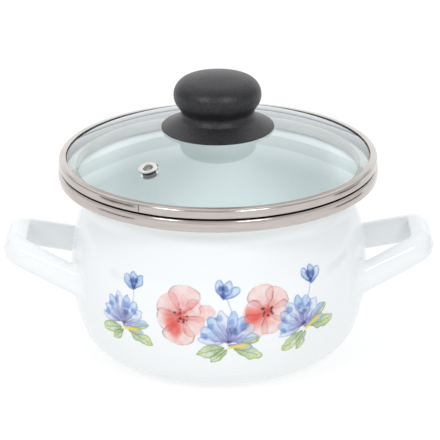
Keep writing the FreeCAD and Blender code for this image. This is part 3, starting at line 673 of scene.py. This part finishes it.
class Sheet:
    """Painted sheet laid round the belly: u runs round the pot and v up it, in mm."""

    def __init__(self, u, v):
        self.u, self.v = u, v
        self.paint = np.ones((len(u), 3))

    def grain(self, size, seed):
        """Smooth random field, 0 to 1, whose patches are about size mm across."""
        rng = np.random.default_rng(seed)
        cells = 256
        lattice = rng.random((cells, cells))
        x, y = (self.u + 200) / size, (self.v + 50) / size
        i, j = np.floor(x).astype(int), np.floor(y).astype(int)
        fx, fy = x - i, y - j
        fx, fy = fx * fx * (3 - 2 * fx), fy * fy * (3 - 2 * fy)
        i, j, i1, j1 = i % cells, j % cells, (i + 1) % cells, (j + 1) % cells
        return ((lattice[i, j] * (1 - fx) + lattice[i1, j] * fx) * (1 - fy)
                + (lattice[i, j1] * (1 - fx) + lattice[i1, j1] * fx) * fy)

    def wash(self, amount, colour):
        """Transparent paint: darkens what is under it."""
        self.paint *= 1 - np.clip(amount, 0, 1)[:, None] * (1 - tint(colour))

    def cover(self, amount, colour):
        """Body colour: hides what is under it."""
        a = np.clip(amount, 0, 1)[:, None]
        self.paint = self.paint * (1 - a) + tint(colour) * a

    def petal(self, base, angle, length, width, foot, tip, edge=0.35, seed=1,
              blunt=0.55, ragged=0.5, outline=0.0):
        """One petal from its base outwards: foot and tip are its colours at the two ends."""
        a = math.radians(angle)
        du, dv = self.u - base[0], self.v - base[1]
        along = (du * math.cos(a) + dv * math.sin(a)) / length
        aside = -du * math.sin(a) + dv * math.cos(a)
        wobble = (self.grain(2.6, seed) - 0.5) * ragged
        t = np.clip(along, 0, 1)
        half = width / 2 * np.sin(math.pi * t ** (1 + blunt)) ** 0.62
        gap = np.abs(aside) - half + wobble
        gap = np.where((along < 0) | (along > 1.0), 5.0, gap)
        inside = 1 - ease(gap, -0.25, 0.2)
        pool = self.grain(3.2, seed + 7) * 0.55 + self.grain(1.1, seed + 9) * 0.25
        rim = np.exp(-((gap + 0.35) / 0.42) ** 2)
        body = ease(t, 0.1, 0.85)
        self.cover(inside * 0.55, (250, 252, 254))
        self.wash(inside * (1 - body) * (0.3 + pool * 0.9), foot)
        self.wash(inside * (0.25 + 0.75 * body) * (0.3 + pool * 0.9), tip)
        self.wash(inside * rim * edge, foot)
        veins = np.abs(np.sin(aside / (0.35 + t) * 2.6 + wobble * 3))
        self.wash(inside * (1 - ease(veins, 0.0, 0.22)) * 0.22 * (1 - t * 0.6), foot)
        if outline:
            broken = ease(self.grain(4.5, seed + 3), 0.45, 0.6)
            line = np.exp(-(gap / 0.22) ** 2) * broken * ease(t, 0.15, 0.35)
            self.cover(line * outline, INK)

    def stroke(self, points, thick, colour, amount=0.8, taper=True, bends=6):
        """Brush line through the given points."""
        path = [Vector(p) for p in points]
        fine = []
        for k in range(len(path) - 1):
            before = path[max(k - 1, 0)]
            after = path[min(k + 2, len(path) - 1)]
            for n in range(bends):
                s = n / bends
                m0, m1 = (path[k + 1] - before) / 2, (after - path[k]) / 2
                fine.append(path[k] * (2 * s ** 3 - 3 * s ** 2 + 1) + m0 * (s ** 3 - 2 * s ** 2 + s)
                            + path[k + 1] * (3 * s ** 2 - 2 * s ** 3) + m1 * (s ** 3 - s ** 2))
        fine.append(path[-1])
        near = np.full(len(self.u), 9.0)
        for k in range(len(fine) - 1):
            a, b = fine[k], fine[k + 1]
            span = b - a
            t = ((self.u - a.x) * span.x + (self.v - a.y) * span.y) / max(span.length_squared, 1e-9)
            t = np.clip(t, 0, 1)
            d = np.hypot(self.u - a.x - span.x * t, self.v - a.y - span.y * t)
            share = (k + t) / (len(fine) - 1)
            w = thick * (1 - 0.7 * share if taper else 1.0)
            near = np.minimum(near, d / w)
        self.cover((1 - ease(near, 0.5, 1.1)) * amount, colour)

    def blot(self, centre, size, colour, amount=0.8, seed=3, ragged=0.5):
        """Round touch of the brush with an uneven edge."""
        d = np.hypot(self.u - centre[0], self.v - centre[1]) / size
        d = d + (self.grain(size * 0.9, seed) - 0.5) * ragged
        self.wash((1 - ease(d, 0.45, 1.1)) * amount, colour)

    def leaf(self, base, angle, length, width, seed):
        """Green leaf with a middle rib and four side ribs."""
        self.petal(base, angle, length, width, GREEN, GREEN_PALE, edge=0.75, seed=seed,
                   blunt=0.1, ragged=1.6)
        a = math.radians(angle)
        tip = (base[0] + math.cos(a) * length, base[1] + math.sin(a) * length)
        self.stroke([base, tip], 0.35, GREEN_DEEP, 0.7)
        for share, side in ((0.3, 1), (0.45, -1), (0.6, 1), (0.75, -1)):
            mid = (base[0] + math.cos(a) * length * share, base[1] + math.sin(a) * length * share)
            b = a + side * 0.8
            reach = width * 0.42
            self.stroke([mid, (mid[0] + math.cos(b) * reach, mid[1] + math.sin(b) * reach)],
                        0.3, GREEN_DEEP, 0.45)

    def poppy(self, centre, size, turn, seed, petals=6):
        """Wide coral bloom: overlapping petals, a deep heart and dark stamens."""
        for k in range(petals):
            angle = turn + 360 / petals * k
            reach = size * (0.92 + 0.13 * math.sin(k * 2.3 + seed))
            self.petal(centre, angle, reach, reach * 1.02, CORAL, CORAL_PALE, edge=0.4,
                       seed=seed + 11 * k, blunt=0.75, ragged=1.3, outline=0.75)
        low = (centre[0] - size * 0.34, centre[1] - size * 0.18)
        self.blot(low, size * 0.56, CORAL_HOT, 0.85, seed, 1.0)
        self.blot(centre, size * 0.22, CORAL_DEEP, 0.4, seed + 1, 0.8)
        rng = np.random.default_rng(seed)
        for k in range(11):
            angle = rng.uniform(0, 2 * math.pi)
            reach = size * rng.uniform(0.1, 0.24)
            spot = (centre[0] + math.cos(angle) * reach, centre[1] + math.sin(angle) * reach)
            self.stroke([centre, spot], 0.28, CORAL_DEEP, 0.6)
            self.blot(spot, rng.uniform(0.6, 1.05), INK, 0.9, seed + k, 0.3)

    def bud(self, centre, size, lean, seed, stem_to):
        """Closed blue bud: a pale fan with a darker heart, on a thin stem."""
        self.stroke([centre, ((centre[0] + stem_to[0]) / 2 + 0.6, (centre[1] + stem_to[1]) / 2),
                     stem_to], 0.38, BLUE, 0.5, taper=False)
        base = (centre[0], centre[1] - size * 0.75)
        for side, spread in ((-1, 34), (1, -34), (0, 0)):
            self.petal(base, 90 + lean + spread, size * 1.9, size * 0.95, BLUE, BLUE_PALE,
                       edge=0.75, seed=seed + side, ragged=1.1)
        self.blot((centre[0] - size * 0.2, centre[1] + size * 0.25), size * 0.42, BLUE_DEEP,
                  0.75, seed, 0.7)
        self.blot((centre[0] + size * 0.28, centre[1] + size * 0.22), size * 0.36, BLUE_DEEP,
                  0.7, seed + 1, 0.7)
        self.blot((centre[0], centre[1] - size * 0.3), size * 0.34, BLUE_DEEP, 0.7, seed, 0.5)

    def iris(self, heart, size, lean, seed):
        """Blue and violet flower over a yellow streak and green leaves."""

        def at(x, y):
            a = math.radians(lean)
            return (heart[0] + (x * math.cos(a) - y * math.sin(a)) * size,
                    heart[1] + (x * math.sin(a) + y * math.cos(a)) * size)

        self.leaf(at(-0.15, -0.22), 196 + lean, size * 1.05, size * 0.5, seed + 40)
        self.leaf(at(0.2, -0.25), -22 + lean, size * 1.15, size * 0.52, seed + 41)
        self.leaf(at(-0.05, -0.3), 222 + lean, size * 0.8, size * 0.36, seed + 42)
        self.leaf(at(0.35, -0.12), 18 + lean, size * 0.85, size * 0.34, seed + 43)
        petals = ((174, 1.1, 0.34, BLUE_FAINT), (10, 1.1, 0.36, BLUE_PALE),
                  (150, 1.1, 0.5, BLUE_PALE), (36, 1.1, 0.5, BLUE_FAINT),
                  (124, 1.22, 0.5, BLUE_PALE), (60, 1.15, 0.46, BLUE_PALE),
                  (102, 1.3, 0.44, BLUE_FAINT), (80, 1.25, 0.4, BLUE_PALE))
        for angle, length, width, shade in petals:
            self.petal(heart, angle + lean, length * size, width * size, LILAC, shade,
                       edge=0.55, seed=seed + angle, blunt=0.5, ragged=1.6)
        self.petal(at(-0.05, -0.12), -8 + lean, size * 0.95, size * 0.34, BLUE, BLUE_PALE,
                   edge=0.6, seed=seed + 2, ragged=0.8)
        self.petal(at(0.0, -0.2), 2 + lean, size * 0.78, size * 0.24, YELLOW, YELLOW,
                   edge=0.5, seed=seed + 3, ragged=0.5)
        self.stroke([at(0.02, -0.22), at(0.3, -0.2), at(0.62, -0.12)], 0.95, YELLOW, 0.9)
        for x, y, tone in ((-0.62, 0.66, BLUE), (-0.3, 0.92, BLUE), (0.1, 0.78, BLUE),
                           (0.16, 0.46, BLUE_DEEP), (0.55, 0.6, BLUE), (-0.85, 0.25, BLUE)):
            self.blot(at(x, y), size * 0.17, tone, 0.6, seed + int(x * 50), 1.0)
        for x, y in ((-0.85, 0.14), (-0.55, 0.3), (0.0, 0.5), (0.55, 0.3), (0.9, 0.12)):
            self.stroke([heart, at(x * 0.5, y * 0.35), at(x, y)], 0.42, VIOLET, 0.6)
        self.stroke([at(0.04, 0.55), at(0.1, 0.35), at(0.06, 0.22)], 0.55, BLUE_DEEP, 0.75)
        self.blot(heart, size * 0.13, INK, 0.7, seed + 5, 0.6)


def paint_flowers(u, v):
    """Three buds over a row of irises and coral blooms, painted from the back forwards."""
    sheet = Sheet(u, v)
    sheet.bud((-46.7, 61.8), 5.2, 4, 31, (-47.5, 46))
    sheet.bud((1.8, 62.0), 5.6, -22, 57, (6.5, 50))
    sheet.bud((50.6, 63.8), 5.2, -4, 83, (47.0, 50))
    sheet.poppy((-19.5, 48.5), 16.0, 22, 5)
    sheet.petal((-9.0, 46.0), 62, 10.0, 8.5, CORAL_PALE, CORAL_PALE, edge=0.3, seed=71,
                ragged=1.0, outline=0.6)
    sheet.poppy((24.6, 50.2), 14.6, 50, 19)
    sheet.iris((-53.0, 38.5), 13.5, 0, 101)
    sheet.iris((4.4, 34.2), 14.5, 0, 211)
    sheet.iris((45.6, 38.8), 14.0, 24, 307)
    return sheet.paint


def make_floral_print(enamel):
    """The painted sheet fired on the front of the pot, kept only where there is paint."""
    low, high, pitch, lift = 20.0, 76.0, 0.36, 0.035
    bare_white = 0.985
    heights = np.arange(low, high, pitch)
    profile = [(side_radius(z) + lift, float(z)) for z in heights]
    sheet = turned("floral_print", profile, steps=400, closed=False, sweep=110.0,
                   start=-56.0, crease=60)
    mesh = sheet.data
    places = np.empty(len(mesh.vertices) * 3)
    mesh.vertices.foreach_get("co", places)
    places = places.reshape(-1, 3) / MM
    paint = paint_flowers(BELLY * np.arctan2(places[:, 0], -places[:, 1]), places[:, 2])
    colours = mesh.color_attributes.new("print", "FLOAT_COLOR", "POINT")
    colours.data.foreach_set("color", np.hstack([paint, np.ones((len(paint), 1))]).ravel())
    shape = bmesh.new()
    shape.from_mesh(mesh)
    shape.verts.ensure_lookup_table()
    bare = paint.min(axis=1) > bare_white
    blank = [f for f in shape.faces if all(bare[v.index] for v in f.verts)]
    bmesh.ops.delete(shape, geom=blank, context="FACES")
    shape.to_mesh(mesh)
    shape.free()
    mesh.materials.append(enamel)
    belong(sheet, "pot", "white_enamel")


# ------------------------------------------------------------------------------ lid

DOME_ARC, DOME_CENTRE, GLASS_SHEET, GLASS_EDGE = 200.0, -75.23, 3.2, 81.6
SEAT = 103.55            # height of the lid ring's foot
VENT_DISTANCE, VENT_BEARING = 57.3, -128.4


def dome(radius, depth=0.0):
    """Height of the glass's upper face at a radius, or of a layer depth under it."""
    return DOME_CENTRE + math.sqrt((DOME_ARC - depth) ** 2 - radius * radius)


def vent_frame():
    """Turn and place of the vent: square to the glass."""
    lean = math.asin(VENT_DISTANCE / DOME_ARC)
    bearing = math.radians(VENT_BEARING)
    axis = Vector((math.sin(lean) * math.cos(bearing), math.sin(lean) * math.sin(bearing),
                   math.cos(lean)))
    spot = Vector((0, 0, DOME_CENTRE)) + axis * DOME_ARC
    return axis.to_track_quat("Z", "Y").to_matrix(), spot * MM


def make_glass_dome(glass):
    """Domed glass with a hole in the middle for the screw and a bored one for the vent."""
    screw_hole, vent_hole, drill_length, crease = 5.0, 3.6, 12.0, 32
    radii = [float(r) for r in np.linspace(screw_hole, GLASS_EDGE, 30)]
    top = [(r, dome(r)) for r in radii]
    under = [(r, dome(r, GLASS_SHEET)) for r in radii]
    lens = turned("glass_dome", under + top[::-1], steps=224)
    bpy.ops.object.select_all(action="DESELECT")
    bpy.ops.mesh.primitive_cylinder_add(vertices=48, radius=vent_hole * MM,
                                        depth=drill_length * MM)
    drill = bpy.context.object
    move_piece(drill, *vent_frame())
    bore = lens.modifiers.new("bore", "BOOLEAN")
    bore.operation, bore.solver, bore.object = "DIFFERENCE", "EXACT", drill
    bpy.context.view_layer.objects.active = lens
    bpy.ops.object.modifier_apply(modifier="bore")
    bpy.data.objects.remove(drill)
    bpy.ops.object.select_all(action="DESELECT")
    lens.select_set(True)
    bpy.ops.object.shade_smooth_by_angle(angle=math.radians(crease))
    lens.data.materials.append(glass)
    belong(lens, "lid", "lid_glass", "lid_glass")


def make_lid_band(steel, weld_steel):
    """Ring rolled round the glass, with the skirt that centres it and its weld line."""
    sheet, corner, roll, face, shoulder = 0.5, 0.8, 1.3, 84.0, 107.2
    skirt, bottom, lip, lip_top, lip_sheet = 75.1, 98.0, 80.4, 108.7, 0.45
    band = turned("lid_ring", outline(
        (skirt - sheet, bottom), (skirt, bottom), (skirt, SEAT),
        (face - corner, SEAT), corner, (face, SEAT + corner),
        (face, shoulder), roll, (face - roll, shoulder + roll),
        (lip, lip_top), (lip, lip_top - lip_sheet),
        (face - roll, shoulder + roll - sheet), sheet - roll,
        (face - sheet, shoulder),
        (face - sheet, SEAT + corner), sheet - corner, (face - corner, SEAT + sheet),
        (skirt, SEAT + sheet), sheet, (skirt - sheet, SEAT)), steps=224)
    band.data.materials.append(steel)
    belong(band, "lid", "band_steel", "lid_rim_band")
    proud = 0.03
    weld_line = [(face + proud, SEAT + corner), (face + proud, shoulder),
                 (face - 0.35, shoulder + 0.98), (lip + 0.8, lip_top + 0.02)]
    seam = turned("lid_ring_weld", weld_line, steps=3, closed=False, sweep=0.45, start=-28.6,
                  crease=20)
    seam.data.materials.append(weld_steel)
    belong(seam, "lid", "band_steel")


def make_knob(bakelite):
    """Knob turned in one piece: a wide skirt, a ridge and waist, and a flattened bulb."""
    clearance, screw_hole = 1.2, 3.9
    edge, skirt = 122.9, 29.7
    lip = skirt - 1.9
    ridge, cove, waist = (20.4, 129.0), (19.9, 129.8), (19.3, 131.6)
    profile = ([(screw_hole, dome(screw_hole) + clearance + 0.3)]
               + [(r, dome(r) + clearance) for r in (9.0, 14.0, 19.0, 24.0, lip)]
               + [(lip, edge), (skirt - 0.4, edge), (skirt, edge + 0.4)]
               + bend((skirt, edge + 0.8), ridge, -45, 10)
               + bend(ridge, cove, 2.0, 4)[1:-1]
               + bend(cove, waist, -3.56, 6)
               + bend(waist, (19.93, 133.6), -3.5, 6)[1:]
               + bend((21.2, 135.5), (23.1, 141.0), 8.9, 8)
               + arc((14.1, 141.0), 9.0, 0, 75, 12)[1:]
               + bend((16.43, 149.69), (0.0, 151.855), 63.5, 12)[1:])
    knob = turned("knob", profile, steps=160, closed=False, crease=40)
    knob.data.materials.append(bakelite)
    belong(knob, "lid", "knob_bakelite", "lid_knob")


def make_vent(steel):
    """Eyelet of the steam vent: a tube rolled over the glass above and below."""
    bore, tube, flange, brim = 2.4, 3.0, 3.9, 5.15
    foot, flange_top, brim_height, brim_arc = -4.4, -3.9, 0.46, 2.0
    eyelet = turned("vent_tube", outline(
        (bore, foot), (flange, foot), (flange, flange_top), (tube, flange_top),
        (tube, brim_height), (brim, brim_height), brim_arc, (bore, brim_height)), steps=64)
    move_piece(eyelet, *vent_frame())
    eyelet.data.materials.append(steel)
    belong(eyelet, "lid", "fastener_steel", "vent_eyelet")


def dress_frame_pieces(materials):
    """The small fittings stay as they are and take their finish from here."""
    finishes = {"lid_edge_seal": "black_seal", "knob_insert": "brass",
                "knob_upper_seal": "clear_seal", "screw_hole_bush": "clear_seal",
                "knob_lower_seal": "clear_seal", "knob_washer": "fastener_steel",
                "knob_lock_washer": "fastener_steel", "knob_screw": "fastener_steel",
                "vent_seal": "black_seal", "vent_washer": "fastener_steel"}
    for node, slot in finishes.items():
        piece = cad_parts[node]
        piece.data.materials.clear()
        piece.data.materials.append(materials[slot])


set_camera()
set_world()
set_lights()
make_floor()

ENAMEL = make_enamel("white_enamel", light_inside=True)
STEEL = make_steel("band_steel", (0.57, 0.52, 0.49), 0.16)
SMALL_STEEL = make_steel("fastener_steel", (0.72, 0.70, 0.68), 0.2)
RUBBER = make_plain("black_seal", (0.02, 0.02, 0.02), 0.55)
MATERIALS = {"black_seal": RUBBER, "fastener_steel": SMALL_STEEL,
             "clear_seal": make_plain("clear_seal", (0.75, 0.76, 0.76), 0.4),
             "brass": make_plain("brass", (0.72, 0.52, 0.22), 0.3, 1.0)}

make_pot(ENAMEL)
make_floral_print(make_enamel("painted_enamel", printed=True))
make_pot_band(STEEL)
make_handle("handle_loop_right", ENAMEL, "handle_right", False)
make_handle("handle_loop_left", ENAMEL, "handle_left", True)
make_glass_dome(make_glass("lid_glass"))
make_lid_band(STEEL, make_steel("weld_steel", (0.22, 0.20, 0.19), 0.4))
make_knob(make_bakelite("knob_bakelite"))
make_vent(SMALL_STEEL)
dress_frame_pieces(MATERIALS)

bpy.context.scene.view_settings.view_transform = "Standard"
